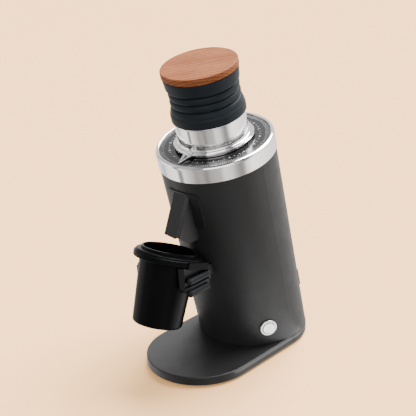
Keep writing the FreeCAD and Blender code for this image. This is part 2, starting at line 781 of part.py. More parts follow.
def column_front(x, z):
    """The Y of the column's front face at a given X and Z."""
    lean_angle = math.radians(LEAN)
    axis_y = HEAD_Y + (HEAD_Z - z) * math.tan(lean_angle)
    along = (HEAD_Z - z) / math.cos(lean_angle)
    radius = column_radius(-along)
    return axis_y - math.sqrt(radius ** 2 - x ** 2) / math.cos(lean_angle)


def make_chute():
    hood = side_prism([
        (CHUTE_TOP_Y, PLATE_TOP),
        (CHUTE_LIP_Y, CHUTE_LIP_Z),
        (CHUTE_MOUTH_Y, CHUTE_MOUTH_Z),
        (CHUTE_BACK_Y, CHUTE_MOUTH_Z),
        (CHUTE_BACK_Y, PLATE_TOP),
    ], CHUTE_HALF_WIDTH)
    front = [e for e in hood.Edges if is_chute_front_edge(e)]
    hood = hood.makeChamfer(CHUTE_CHAMFER, front)
    hood = hood.makeFillet(CHUTE_EDGE_RADIUS, [edge for edge in hood.Edges if is_chute_corner(edge)])
    roof = PLATE_TOP - 6.0
    hollow = side_prism([
        (CHUTE_TOP_Y + 0.5 + CHUTE_WALL, roof),
        (CHUTE_LIP_Y + CHUTE_WALL, CHUTE_LIP_Z),
        (CHUTE_LIP_Y + CHUTE_WALL, CHUTE_LIP_Z - 30),
        (CHUTE_BACK_Y + 10, CHUTE_LIP_Z - 30),
        (CHUTE_BACK_Y + 10, roof),
    ], CHUTE_HALF_WIDTH - CHUTE_WALL)
    hood = hood.cut(hollow)
    return hood.cut(lean(column_core(PLATE_THICKNESS + 0.02, -130, -5)))


def is_chute_front_edge(edge):
    """True for the two long edges beside the chute's front face."""
    box = edge.BoundBox
    return box.ZLength > 30 and box.YMax < CHUTE_TOP_Y + 1 and box.XLength < 0.01


def is_chute_corner(edge):
    """True for the two long edges between the chute's bevels and its sides."""
    box = edge.BoundBox
    on_side = abs(abs(box.XMin) - CHUTE_HALF_WIDTH) < 0.01
    return on_side and box.XLength < 0.01 and box.ZLength > 30 and box.YMin < CHUTE_MOUTH_Y + 5


def make_declumper_flap():
    """A slit silicone flap across the exit, clamped between the plate and the spout."""
    sheet = block((-8.8, 8.8), (-56.6, -55.6), (EXIT_BOTTOM + 0.1, EXIT_TOP - 0.1))
    slits = [block((x - 0.25, x + 0.25), (-58, -55), (EXIT_BOTTOM - 1, EXIT_TOP - 3))
             for x in (-4.5, 0.0, 4.5)]
    return lean(carve(sheet, slits))


# ---------------------------------------------------------------- adjustment collar and bellows
def make_adjustment_collar():
    return lean(lathe([
        (31.0, SPIGOT_TOP),
        (SPIGOT_RADIUS, SPIGOT_TOP),
        (SPIGOT_RADIUS, 28.4),
        (NECK_RADIUS - 0.2, 28.4),
        ((NECK_RADIUS + 0.8, 27.4), (NECK_RADIUS, 26.4)),
        (NECK_RADIUS, COLLAR_FLANGE_TOP + 2.3),
        ((NECK_RADIUS + 0.6, COLLAR_FLANGE_TOP + 0.9), (NECK_RADIUS + 2.0, COLLAR_FLANGE_TOP + 0.3)),
        (COLLAR_FLANGE_RADIUS - 1.6, COLLAR_FLANGE_TOP + 0.1),
        (COLLAR_FLANGE_RADIUS - 1.4, COLLAR_FLANGE_TOP - 0.3),
        (COLLAR_FLANGE_RADIUS - 0.5, COLLAR_FLANGE_TOP - 0.3),
        (COLLAR_FLANGE_RADIUS, COLLAR_FLANGE_TOP - 0.8),
        (COLLAR_FLANGE_RADIUS, COLLAR_FLANGE_BOTTOM),
        (COLLAR_SKIRT_RADIUS, COLLAR_FLANGE_BOTTOM),
        (COLLAR_SKIRT_RADIUS, COLLAR_SKIRT_BOTTOM),
        (THREAD_BORE - 0.35, COLLAR_SKIRT_BOTTOM - 1.2),
        (THREAD_BORE - 0.35, -23.4),
        (36.0, -23.4),
        (36.0, -8.0),
        (31.0, -3.0),
    ]))


def make_bean_funnel():
    return lean(lathe([
        (29.0, SPIGOT_TOP - 0.2),
        (30.95, SPIGOT_TOP - 0.2),
        (30.95, -3.0),
        (21.6, -20.5),
        (21.6, -22.9),
        (BURR_BORE, -22.9),
        (BURR_BORE, -20.0),
        (29.0, -1.6),
    ]))


def pointer_outline(inset):
    """A triangle that points outwards from the flange, drawn in by the bars' width."""
    root = -0.6 - inset
    half = POINTER_HALF_WIDTH - inset
    corners = [Vector(root, -half, 0), Vector(POINTER_LENGTH - 1.7 * inset, 0, 0), Vector(root, half, 0)]
    return Part.Face(Part.makePolygon(corners + corners[:1]))


def make_dial_pointer():
    """An open pointer of two bars that slope down to the dial's marks, held under the flange's rim."""
    rim = COLLAR_FLANGE_RADIUS + 0.04
    top = COLLAR_FLANGE_TOP - 0.9
    bars = pointer_outline(0).extrude(Vector(0, 0, POINTER_THICKNESS))
    opening = pointer_outline(POINTER_BAR_WIDTH).extrude(Vector(0, 0, 4 * POINTER_THICKNESS))
    bars = bars.cut(placed(opening, Placement(Vector(0, 0, -2 * POINTER_THICKNESS), Rotation())))
    slope = Rotation(Vector(0, 1, 0), POINTER_SLOPE)
    bars = placed(bars, Placement(Vector(rim + 0.8, 0, top - POINTER_THICKNESS), slope))
    bars = bars.cut(cylinder(rim, DIAL_TOP, top + 2))
    clip = join([
        tube(rim + 1.1, rim, COLLAR_FLANGE_BOTTOM - 1.6, top),
        tube(rim + 1.1, COLLAR_SKIRT_RADIUS + 0.02, COLLAR_FLANGE_BOTTOM - 1.6,
             COLLAR_FLANGE_BOTTOM - 0.02),
    ])
    clip = clip.common(block((30, 50), (-POINTER_HALF_WIDTH, POINTER_HALF_WIDTH), (DIAL_TOP, top)))
    return lean(turned(join([bars, clip]), POINTER_ANGLE))


def bellows_outline():
    """The outside, from the cuff's foot up to the band under the lid."""
    return [
        (36.9, CUFF_BOTTOM),
        ((37.7, 28.7), (38.0, 30.2)),
        (37.9, 36.6),
        (37.4, 37.3),
        ((36.9, 40.6), (35.8, 43.2)),
        (33.6, 44.4),
        (33.6, 45.0),
        (35.0, 45.8),
        ((36.0, 48.6), (35.0, 51.4)),
        (33.6, 52.2),
        (33.6, 52.8),
        (35.0, 53.6),
        ((36.0, 56.4), (35.0, 59.2)),
        (33.6, 60.0),
        (33.6, 60.6),
        (36.2, 61.8),
        ((37.5, 63.6), (37.9, 66.4)),
        (38.3, BELLOWS_TOP - 0.1),
    ]


def make_bellows():
    inside = [
        (33.6, BELLOWS_TOP - 0.1),
        (33.6, 64.0),
        (31.4, 61.0),
        (31.4, 45.4),
        (SPIGOT_RADIUS + 0.35, 43.6),
        (SPIGOT_RADIUS + 0.35, 29.0),
        (NECK_RADIUS + 0.1, CUFF_BOTTOM + 0.4),
    ]
    return lean(lathe(bellows_outline() + inside))


def make_wooden_lid():
    top = BELLOWS_TOP + LID_THICKNESS
    return lean(lathe([
        (0, BELLOWS_TOP),
        (LID_RADIUS - 0.8, BELLOWS_TOP),
        (LID_RADIUS, BELLOWS_TOP + 0.8),
        (LID_RADIUS, top - 1.4),
        ((LID_RADIUS - 0.4, top - 0.4), (LID_RADIUS - 1.4, top)),
        (0, top),
    ]))


def make_lid_plug():
    plug = lathe([
        (0, BELLOWS_TOP),
        (0, BELLOWS_TOP - 3.0),
        (27.0, BELLOWS_TOP - 3.0),
        (29.0, BELLOWS_TOP - 9.5),
        (32.4, BELLOWS_TOP - 9.5),
        (33.4, BELLOWS_TOP - 8.5),
        (33.4, BELLOWS_TOP),
    ])
    return lean(plug)


# ---------------------------------------------------------------- cup and fork
def make_dosing_cup():
    foot = -CUP_DEPTH
    return hang(lathe([
        (0, foot),
        (CUP_FOOT_RADIUS - 3.0, foot),
        ((CUP_FOOT_RADIUS - 0.9, foot + 0.9), (CUP_FOOT_RADIUS, foot + 3.0)),
        (CUP_NECK_RADIUS, CUP_FLANGE_TOP - 6.0),
        (CUP_NECK_RADIUS, -0.6),
        (CUP_NECK_RADIUS - 0.4, 0),
        (CUP_MOUTH_RADIUS + 0.4, 0),
        (CUP_MOUTH_RADIUS, -0.4),
        (CUP_MOUTH_RADIUS, -12.0),
        (CUP_FOOT_RADIUS - CUP_WALL, foot + 8.0),
        ((CUP_FOOT_RADIUS - CUP_WALL - 1.8, foot + 3.8), (CUP_FOOT_RADIUS - 6.0, foot + 2.0)),
        (0, foot + 2.0),
    ]))


def make_cup_ring():
    """The ring on the cup's neck: a flange with a square lug at each side, and a round shoulder."""
    ring = lathe([
        (CUP_NECK_RADIUS + 0.01, CUP_FLANGE_BOTTOM),
        (CUP_FLANGE_RADIUS - 0.5, CUP_FLANGE_BOTTOM),
        (CUP_FLANGE_RADIUS, CUP_FLANGE_BOTTOM + 0.5),
        (CUP_FLANGE_RADIUS, CUP_FLANGE_TOP - 0.5),
        (CUP_FLANGE_RADIUS - 0.5, CUP_FLANGE_TOP),
        (CUP_NECK_RADIUS + 5.6, CUP_FLANGE_TOP),
        ((CUP_NECK_RADIUS + 5.0, CUP_FLANGE_TOP + 1.6), (CUP_NECK_RADIUS + 3.0, CUP_FLANGE_TOP + 2.5)),
        (CUP_NECK_RADIUS + 1.2, CUP_FLANGE_TOP + 2.8),
        (CUP_NECK_RADIUS + 0.01, CUP_FLANGE_TOP + 2.8),
    ])
    bar = block((-EAR_X, EAR_X), (-8.5, 20.0), (EAR_BOTTOM, CUP_FLANGE_TOP - 0.4))
    upright = [e for e in bar.Edges if e.BoundBox.ZLength > 1.0]
    bar = bar.makeFillet(0.6, upright)
    middle = block((-20, 20), (-10, 30), (EAR_BOTTOM - 1, 0))
    lugs = bar.cut(middle).cut(cylinder(CUP_NECK_RADIUS + 0.01, EAR_BOTTOM - 1, 0))
    return hang(join([ring] + lugs.Solids))


def fork_pad(side, height, grow):
    """A straight rounded rail along one side of the fork, with a domed front end."""
    centre = Vector(side * PAD_X, PAD_FRONT_Y + PAD_RADIUS, height)
    bar = Part.makeCylinder(PAD_RADIUS + grow, END_PLATE_Y[0] - centre.y, centre, Y_AXIS)
    dome = Part.makeSphere(PAD_RADIUS + grow)
    dome.translate(centre)
    return bar.fuse(dome)


def make_rest_pad(side, height):
    core = block((-PAD_X + 1.5, PAD_X - 1.5), (-100, -50), (height - 10, height + 10))
    return largest(fork_pad(side, height, 0).cut(core))


def fork_sides():
    """The fork's solid parts before its slot is cut: arms, end plates, a round back, a bridge."""
    plan = [(FORK_HALF_WIDTH, END_PLATE_Y[1]), (FORK_HALF_WIDTH, FORK_CENTRE_Y),
            (FORK_HALF_WIDTH - 1.2, FORK_FRONT_Y + 4.4), (FORK_HALF_WIDTH - 3.8, FORK_FRONT_Y)]
    plan += [(-x, y) for x, y in reversed(plan)]
    corners = [Vector(x, y, FORK_LOW_Z) for x, y in plan]
    arms = Part.Face(Part.makePolygon(corners + corners[:1])).extrude(Vector(0, 0, 49))
    ends = block((-36.4, 36.4), END_PLATE_Y, (112.5, 150))
    back = cylinder(FORK_BACK_RADIUS, FORK_LOW_Z, 125, 0, FORK_CENTRE_Y)
    back = back.common(block((-60, 60), (FORK_CENTRE_Y + 18, 0), (0, 200)))
    bridge = block((-17, 17), (-62, FORK_PLATE_Y + 1), (FORK_LOW_Z, 118))
    return [arms, ends, back, bridge]


def pocket(side):
    """The shallow recess on the fork's outer face, above the upper rail."""
    return block(sorted((side * 31.4, side * 60)), (-93.0, END_PLATE_Y[0]), (112.0, 150))


def make_fork_bracket():
    plate = rounded_panel(21.0, 93.0, 120.0, 4.0, FORK_PLATE_Y,
                          FORK_PLATE_Y + FORK_PLATE_THICKNESS)
    mount = block((-18.5, 18.5), (FORK_PLATE_Y + 2, -30), (103.5, 118.5))
    whole = join(fork_sides() + [plate, mount])
    slot = cylinder(FORK_SLOT, -60, 20)
    slot = slot.fuse(block((-FORK_SLOT, FORK_SLOT), (-80, 0), (-60, 20)))
    above = block((-60, 60), (-80, 80), (EAR_BOTTOM - 0.1, 60))
    front = block((-60, 60), (-160, FORK_FRONT_Y), (80, 170))
    nose = side_prism([(FORK_FRONT_Y - 1, 80), (FORK_FRONT_Y - 1, 113.5), (-88.5, 104.0),
                       (-80, FORK_LOW_Z), (-80, 80)], 60)
    step = block((-60, -20), (-160, FORK_STEP_Y), (FORK_STEP_Z, 170))
    cuts = [hang(slot), hang(above), front, nose, step, lean(column_core(0.02, -200, -60))]
    for side in (-1, 1):
        cuts.append(pocket(side))
        for height in PAD_HEIGHTS.values():
            cuts.append(fork_pad(side, height, 0.01))
    for x, z in FORK_SCREW_PLACES:
        cuts.append(screw_hole(x, z, 1.9, -62, -20))
    return largest(carve(whole, cuts))


def make_fork_screws():
    screws = []
    for x, z in FORK_SCREW_PLACES:
        inner = column_front(x, z) + 3.8
        shank = screw_hole(x, z, 1.85, inner - 14, inner)
        head = screw_hole(x, z, 3.4, inner, inner + 2.4)
        screws.append(head.fuse(shank))
    return group(screws)


# ---------------------------------------------------------------- all the pieces
def main():
    os.makedirs("parts", exist_ok=True)
    save("base_plate", make_base_plate())
    for name, (x, y) in foot_places().items():
        save(name, make_foot(x, y))
    save("base_screws", make_base_screws())
    save("body_shell", make_body_shell())
    save("outer_ring", lean(make_outer_ring()))
    save("dial_plate", lean(make_dial_plate()))

    save("burr_chamber", lean(make_burr_chamber()))
    save("chamber_screws", lean(make_chamber_screws()))
    save("thread_ring", lean(make_thread_ring()))
    save("wave_spring", lean(make_wave_spring()))
    save("shaft_seal", lean(make_shaft_seal()))
    save("upper_bearing", lean(make_bearing(-61.6)))
    save("lower_bearing", lean(make_bearing(-160.3)))

    save("upper_burr_carrier", lean(make_upper_burr_carrier()))
    save("upper_burr", lean(make_burr(UPPER_BURR_FACE, UPPER_BURR_TOP)))
    save("upper_burr_screws", lean(make_burr_screws(UPPER_BURR_FACE + 3.6, 1.0)))
    save("lower_burr_carrier", lean(make_lower_burr_carrier()))
    save("lower_burr", lean(make_burr(LOWER_BURR_FACE, LOWER_BURR_BOTTOM)))
    save("lower_burr_screws", lean(make_burr_screws(LOWER_BURR_FACE - 2.6, -1.0)))
    save("carrier_bolt", lean(make_carrier_bolt()))
    save("drive_shaft", lean(make_drive_shaft()))
    save("rotor_core", lean(make_rotor_core()))
    save("cooling_fan", lean(make_cooling_fan()))

    save("motor_flange", lean(make_motor_flange()))
    save("motor_flange_screws", lean(make_motor_flange_screws()))
    save("motor_can", lean(make_motor_can()))
    save("stator", lean(make_stator()))
    save("motor_end_cap", lean(make_motor_end_cap()))

    save("circuit_board", make_circuit_board())
    save("board_standoffs", make_board_standoffs())
    save("board_components", make_board_components())
    save("power_inlet", make_power_inlet())
    save("inlet_pins", make_inlet_pins())
    save("inlet_screws", make_inlet_screws())
    save("switch_barrel", make_switch_barrel())
    save("switch_nut", make_switch_nut())
    save("button_cap", make_button_cap())

    save("chute_plate", make_chute_plate())
    save("chute_plate_screws", make_chute_plate_screws())
    save("chute", make_chute())
    save("declumper_flap", make_declumper_flap())

    save("adjustment_collar", make_adjustment_collar())
    save("bean_funnel", make_bean_funnel())
    save("dial_pointer", make_dial_pointer())
    save("bellows", make_bellows())
    save("wooden_lid", make_wooden_lid())
    save("lid_plug", make_lid_plug())

    save("dosing_cup", make_dosing_cup())
    save("cup_ring", make_cup_ring())
    save("fork_bracket", make_fork_bracket())
    save("fork_screws", make_fork_screws())
    for row, height in PAD_HEIGHTS.items():
        save("rest_pad_" + row + "_left", make_rest_pad(-1, height))
        save("rest_pad_" + row + "_right", make_rest_pad(1, height))


main()
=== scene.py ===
import json
import math

import bmesh
import bpy
from mathutils import Matrix, Vector


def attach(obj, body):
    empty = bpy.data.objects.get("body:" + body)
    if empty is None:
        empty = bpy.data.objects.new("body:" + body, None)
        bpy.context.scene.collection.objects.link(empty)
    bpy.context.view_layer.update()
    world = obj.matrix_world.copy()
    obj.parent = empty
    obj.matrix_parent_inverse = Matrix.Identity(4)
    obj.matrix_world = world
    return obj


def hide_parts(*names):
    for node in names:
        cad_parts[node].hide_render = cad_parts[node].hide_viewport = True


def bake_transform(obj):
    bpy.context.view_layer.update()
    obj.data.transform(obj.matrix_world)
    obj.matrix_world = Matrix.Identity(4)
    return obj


# The grinder's looks: materials for its parts, the folded bellows, and the dial's numbers.
# Metres throughout. +Z is up, -Y is the front, +X the side with the power button.

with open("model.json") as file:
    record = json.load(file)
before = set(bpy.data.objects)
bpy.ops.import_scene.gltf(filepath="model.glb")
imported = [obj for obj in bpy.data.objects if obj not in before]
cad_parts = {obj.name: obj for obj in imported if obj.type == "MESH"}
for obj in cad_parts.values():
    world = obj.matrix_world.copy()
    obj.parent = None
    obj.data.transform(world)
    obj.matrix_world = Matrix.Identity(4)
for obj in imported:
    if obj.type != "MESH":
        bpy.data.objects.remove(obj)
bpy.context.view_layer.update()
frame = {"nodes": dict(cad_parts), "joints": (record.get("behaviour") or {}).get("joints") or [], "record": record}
NODES = frame["nodes"]
JOINTS = {joint["name"]: joint for joint in frame["joints"]}

MM = 0.001
HEAD = Vector(JOINTS["adjust_turn"]["pos_m"])
UP = Vector(JOINTS["adjust_turn"]["axis"]).normalized()
LEAN = math.atan2(-UP.y, UP.z)
COLUMN = Matrix.Translation(HEAD) @ Matrix.Rotation(LEAN, 4, "X")
CUP_AXIS = Vector(JOINTS["cup_slide"]["axis"])
CUP_TILT = math.atan2(CUP_AXIS.z, -CUP_AXIS.y)


# ---------------------------------------------------------------- node trees
def new_material(name, base, roughness, metallic=0.0, specular=0.5):
    """A material with its shader, and the position on the part in metres."""
    material = bpy.data.materials.new(name)
    material.use_nodes = True
    tree = material.node_tree
    shader = tree.nodes["Principled BSDF"]
    shader.inputs["Base Color"].default_value = (*base, 1.0)
    shader.inputs["Roughness"].default_value = roughness
    shader.inputs["Metallic"].default_value = metallic
    shader.inputs["Specular IOR Level"].default_value = specular
    place = tree.nodes.new("ShaderNodeTexCoord").outputs["Object"]
    return material, tree, shader, place


def link(tree, source, target):
    tree.links.new(source, target)


def math_node(tree, kind, a, b=None, clamp=False):
    node = tree.nodes.new("ShaderNodeMath")
    node.operation = kind
    node.use_clamp = clamp
    for socket, value in zip(node.inputs, (a, b)):
        if value is None:
            continue
        if isinstance(value, (int, float)):
            socket.default_value = value
        else:
            link(tree, value, socket)
    return node.outputs[0]


def noise(tree, place, scale, detail=4.0, rough=0.55, stretch=None):
    """Noise of that many features a metre, stretched along an axis if asked."""
    node = tree.nodes.new("ShaderNodeTexNoise")
    node.inputs["Scale"].default_value = scale
    node.inputs["Detail"].default_value = detail
    node.inputs["Roughness"].default_value = rough
    if stretch is not None:
        place = mapped(tree, place, scale=stretch)
    link(tree, place, node.inputs["Vector"])
    return node.outputs["Fac"]


def mapped(tree, place, scale=(1, 1, 1), turn=(0, 0, 0)):
    node = tree.nodes.new("ShaderNodeMapping")
    node.inputs["Scale"].default_value = scale
    node.inputs["Rotation"].default_value = turn
    link(tree, place, node.inputs["Vector"])
    return node.outputs[0]


def ramp(tree, value, stops):
    """Colours or greys by value: stops are (place, colour or grey)."""
    node = tree.nodes.new("ShaderNodeValToRGB")
    elements = node.color_ramp.elements
    while len(elements) < len(stops):
        elements.new(0.5)
    for element, (at, colour) in zip(elements, stops):
        element.position = at
        if isinstance(colour, (int, float)):
            colour = (colour, colour, colour)
        element.color = (*colour, 1.0)
    link(tree, value, node.inputs["Fac"])
    return node.outputs["Color"]


def mix(tree, factor, a, b):
    node = tree.nodes.new("ShaderNodeMix")
    node.data_type = "RGBA"
    for socket, value in ((node.inputs[0], factor), (node.inputs[6], a), (node.inputs[7], b)):
        if isinstance(value, tuple):
            socket.default_value = (*value, 1.0)
        elif isinstance(value, (int, float)):
            socket.default_value = value
        else:
            link(tree, value, socket)
    return node.outputs[2]


def bump(tree, shader, height, depth, strength=1.0, under=None):
    """Bump of that depth in metres."""
    node = tree.nodes.new("ShaderNodeBump")
    node.inputs["Strength"].default_value = strength
    node.inputs["Distance"].default_value = depth
    link(tree, height, node.inputs["Height"])
    if under is not None:
        link(tree, under, node.inputs["Normal"])
    link(tree, node.outputs["Normal"], shader.inputs["Normal"])
    return node.outputs["Normal"]


def column_place(tree, place):
    """The position in the column's frame: its Z runs up the leaning column."""
    moved = tree.nodes.new("ShaderNodeVectorMath")
    moved.operation = "SUBTRACT"
    link(tree, place, moved.inputs[0])
    moved.inputs[1].default_value = HEAD
    return mapped(tree, moved.outputs[0], turn=(-LEAN, 0, 0))


def split(tree, vector):
    node = tree.nodes.new("ShaderNodeSeparateXYZ")
    link(tree, vector, node.inputs[0])
    return node.outputs[0], node.outputs[1], node.outputs[2]


def radius_of(tree, x, y):
    squares = math_node(tree, "ADD", math_node(tree, "MULTIPLY", x, x),
                        math_node(tree, "MULTIPLY", y, y))
    return math_node(tree, "SQRT", squares)


# ---------------------------------------------------------------- materials
def powder_coat(name, shade, rough, grain, depth, specular=0.29):
    """Matte charcoal powder coat: a fine orange-peel grain, faint cloudiness, dust-dull patches."""
    material, tree, shader, place = new_material(name, (shade, shade, shade * 1.01), rough,
                                                 specular=specular)
    cloud = noise(tree, place, 28.0, 3.0)
    fleck = noise(tree, place, 1400.0, 2.0)
    tone = mix(tree, 0.35, ramp(tree, cloud, [(0.3, shade * 0.9), (0.7, shade * 1.12)]),
               ramp(tree, fleck, [(0.35, shade * 0.7), (0.65, shade * 1.35)]))
    link(tree, tone, shader.inputs["Base Color"])
    patch = noise(tree, place, 60.0, 4.0)
    link(tree, ramp(tree, patch, [(0.3, rough - 0.05), (0.7, rough + 0.06)]),
         shader.inputs["Roughness"])
    coarse = bump(tree, shader, noise(tree, place, grain, 3.0, 0.6), depth)
    bump(tree, shader, noise(tree, place, grain * 3.2, 2.0), depth * 0.4, under=coarse)
    return material


def turned_metal(name, base, rough, pitch, depth, streak=0.05):
    """Polished metal turned on a lathe about the column's axis: fine rings, and faint smears."""
    material, tree, shader, place = new_material(name, base, rough, metallic=1.0)
    x, y, z = split(tree, column_place(tree, place))
    radius = radius_of(tree, x, y)
    along = math_node(tree, "ADD", z, radius)
    combine = tree.nodes.new("ShaderNodeCombineXYZ")
    link(tree, along, combine.inputs[2])
    lines = noise(tree, combine.outputs[0], 1.0 / (pitch * MM), 3.0, 0.7)
    smear = noise(tree, place, 45.0, 4.0, 0.6)
    level = mix(tree, 0.5, ramp(tree, lines, [(0.3, rough - streak), (0.7, rough + streak)]),
                ramp(tree, smear, [(0.35, rough - 0.03), (0.75, rough + 0.05)]))
    link(tree, level, shader.inputs["Roughness"])
    tint = mix(tree, ramp(tree, smear, [(0.35, 0.0), (0.8, 0.35)]), base,
               tuple(channel * 0.93 for channel in base))
    link(tree, tint, shader.inputs["Base Color"])
    bump(tree, shader, lines, depth, 0.6)
    return material


def brushed(name, base, rough, stretch):
    """Metal with short straight brush marks."""
    material, tree, shader, place = new_material(name, base, rough, metallic=1.0)
    marks = noise(tree, place, 900.0, 4.0, 0.65, stretch)
    link(tree, ramp(tree, marks, [(0.3, rough - 0.07), (0.7, rough + 0.09)]),
         shader.inputs["Roughness"])
    dark = tuple(channel * 0.82 for channel in base)
    link(tree, mix(tree, ramp(tree, marks, [(0.4, 0.0), (0.75, 0.5)]), base, dark),
         shader.inputs["Base Color"])
    bump(tree, shader, marks, 0.00004, 0.5)
    return material


def cast_metal(name, base, rough):
    material, tree, shader, place = new_material(name, base, rough, metallic=1.0)
    grain = noise(tree, place, 700.0, 4.0)
    link(tree, ramp(tree, grain, [(0.3, rough - 0.06), (0.7, rough + 0.1)]),
         shader.inputs["Roughness"])
    bump(tree, shader, grain, 0.00012, 0.7)
    return material


def anodised(name, shade, rough):
    """Black anodised aluminium: a satin, faintly blue sheen over fine turning marks."""
    base = (shade, shade * 1.06, shade * 1.18)
    material, tree, shader, place = new_material(name, base, rough, specular=0.045)
    upright = mapped(tree, place, turn=(CUP_TILT, 0, 0))
    lines = noise(tree, upright, 900.0, 3.0, 0.6, (0.04, 0.04, 1.0))
    cloud = noise(tree, place, 50.0, 4.0)
    level = mix(tree, 0.45, ramp(tree, lines, [(0.3, rough - 0.06), (0.7, rough + 0.06)]),
                ramp(tree, cloud, [(0.3, rough - 0.04), (0.7, rough + 0.07)]))
    link(tree, level, shader.inputs["Roughness"])
    link(tree, mix(tree, cloud, tuple(c * 0.8 for c in base), tuple(c * 1.3 for c in base)),
         shader.inputs["Base Color"])
    bump(tree, shader, lines, 0.00003, 0.5)
    return material


def moulded(name, base, rough, grain=1500.0, depth=0.00006, specular=0.45):
    """Moulded plastic or rubber with a fine spark-eroded grain."""
    material, tree, shader, place = new_material(name, base, rough, specular=specular)
    texture = noise(tree, place, grain, 3.0, 0.6)
    cloud = noise(tree, place, 70.0, 3.0)
    link(tree, ramp(tree, cloud, [(0.3, rough - 0.05), (0.7, rough + 0.07)]),
         shader.inputs["Roughness"])
    link(tree, mix(tree, cloud, tuple(c * 0.85 for c in base), tuple(c * 1.2 for c in base)),
         shader.inputs["Base Color"])
    bump(tree, shader, texture, depth, 0.7)
    return material


def silicone(name):
    """Matte black silicone: faintly blue and cloudy, with a fine grain and a dusting of lint."""
    base = (0.011, 0.0145, 0.0175)
    material, tree, shader, place = new_material(name, base, 0.46, specular=0.1)
    cloud = noise(tree, place, 90.0, 4.0)
    lint = noise(tree, place, 2600.0, 2.0, 0.5)
    tone = mix(tree, ramp(tree, lint, [(0.7, 0.0), (0.78, 0.5)]),
               mix(tree, cloud, tuple(c * 0.8 for c in base), tuple(c * 1.35 for c in base)),
               (0.014, 0.016, 0.018))
    link(tree, tone, shader.inputs["Base Color"])
    link(tree, ramp(tree, cloud, [(0.3, 0.4), (0.7, 0.52)]), shader.inputs["Roughness"])
    bump(tree, shader, noise(tree, place, 1700.0, 3.0), 0.00005, 0.6)
    return material


def walnut(name):
    """Oiled walnut: growth rings cut lengthwise, darker streaks, and short open pores."""
    material, tree, shader, place = new_material(name, (0.16, 0.06, 0.028), 0.55, specular=0.07)
    local = mapped(tree, column_place(tree, place), turn=(0, 0, math.radians(-40)))
    bend = noise(tree, local, 16.0, 3.0, 0.5, (0.25, 1.0, 1.0))
    x, y, z = split(tree, local)
    across = math_node(tree, "ADD", math_node(tree, "ADD", y, math_node(tree, "MULTIPLY", z, 1.6)),
                       math_node(tree, "MULTIPLY", bend, 0.022))
    rings = math_node(tree, "FRACT", math_node(tree, "MULTIPLY", across, 190.0))
    fibre = noise(tree, local, 1000.0, 4.0, 0.65, (0.035, 1.0, 1.0))
    pores = noise(tree, local, 2100.0, 2.0, 0.5, (0.055, 1.0, 1.0))
    cloud = noise(tree, local, 60.0, 4.0, 0.6, (0.3, 1.0, 1.0))
    wood = ramp(tree, rings, [(0.0, (0.33, 0.11, 0.04)), (0.55, (0.25, 0.078, 0.028)),
                              (0.86, (0.12, 0.036, 0.015)), (1.0, (0.29, 0.094, 0.033))])
    wood = mix(tree, ramp(tree, fibre, [(0.3, 0.0), (0.75, 0.55)]), wood, (0.09, 0.031, 0.014))
    wood = mix(tree, ramp(tree, cloud, [(0.4, 0.0), (0.8, 0.5)]), wood, (0.4, 0.15, 0.06))
    wood = mix(tree, ramp(tree, pores, [(0.62, 0.0), (0.7, 0.85)]), wood, (0.03, 0.011, 0.006))
    link(tree, wood, shader.inputs["Base Color"])
    link(tree, ramp(tree, fibre, [(0.3, 0.42), (0.7, 0.58)]), shader.inputs["Roughness"])
    open_pores = ramp(tree, pores, [(0.6, 1.0), (0.7, 0.0)])
    low = bump(tree, shader, open_pores, 0.00014, 0.8)
    bump(tree, shader, fibre, 0.00005, 0.6, under=low)
    return material


def dial_black(name):
    """Glossy black dial with pale paint in its engraved marks."""
    material, tree, shader, place = new_material(name, (0.012, 0.012, 0.013), 0.16, specular=0.5)
    x, y, z = split(tree, column_place(tree, place))
    radius = radius_of(tree, x, y)
    # the marks' floors lie between these two depths under the dial's face
    below = math_node(tree, "LESS_THAN", z, DIAL_FACE - PAINT_DEPTHS[0])
    outer = math_node(tree, "MULTIPLY", math_node(tree, "GREATER_THAN", radius, PAINT_RADII[0]),
                      math_node(tree, "LESS_THAN", radius, PAINT_RADII[1]))
    near = math_node(tree, "GREATER_THAN", z, DIAL_FACE - PAINT_DEPTHS[1])
    paint = math_node(tree, "MULTIPLY", math_node(tree, "MULTIPLY", below, outer), near)
    cloud = noise(tree, place, 80.0, 4.0)
    black = mix(tree, cloud, (0.008, 0.008, 0.009), (0.014, 0.014, 0.0155))
    link(tree, mix(tree, paint, black, (0.62, 0.61, 0.6)), shader.inputs["Base Color"])
    link(tree, ramp(tree, cloud, [(0.3, 0.13), (0.7, 0.22)]), shader.inputs["Roughness"])
    bump(tree, shader, noise(tree, place, 1800.0, 2.0), 0.00002, 0.5)
    return material


def printed(name):
    """Pale printed ink with faint unevenness."""
    material, tree, shader, place = new_material(name, (0.78, 0.77, 0.75), 0.55)
    spots = noise(tree, place, 1500.0, 3.0)
    link(tree, ramp(tree, spots, [(0.3, 0.66), (0.7, 0.84)]), shader.inputs["Base Color"])
    bump(tree, shader, spots, 0.00002, 0.5)
    return material


def board_green(name):
    """Solder mask with faint copper tracks under it."""
    material, tree, shader, place = new_material(name, (0.02, 0.12, 0.05), 0.3)
    cells = tree.nodes.new("ShaderNodeTexVoronoi")
    cells.inputs["Scale"].default_value = 420.0
    cells.distance = "MANHATTAN"
    cells.feature = "DISTANCE_TO_EDGE"
    link(tree, place, cells.inputs["Vector"])
    tracks = ramp(tree, cells.outputs["Distance"], [(0.06, 1.0), (0.1, 0.0)])
    link(tree, mix(tree, tracks, (0.012, 0.09, 0.035), (0.06, 0.2, 0.08)),
         shader.inputs["Base Color"])
    bump(tree, shader, tracks, 0.00004)
    return material


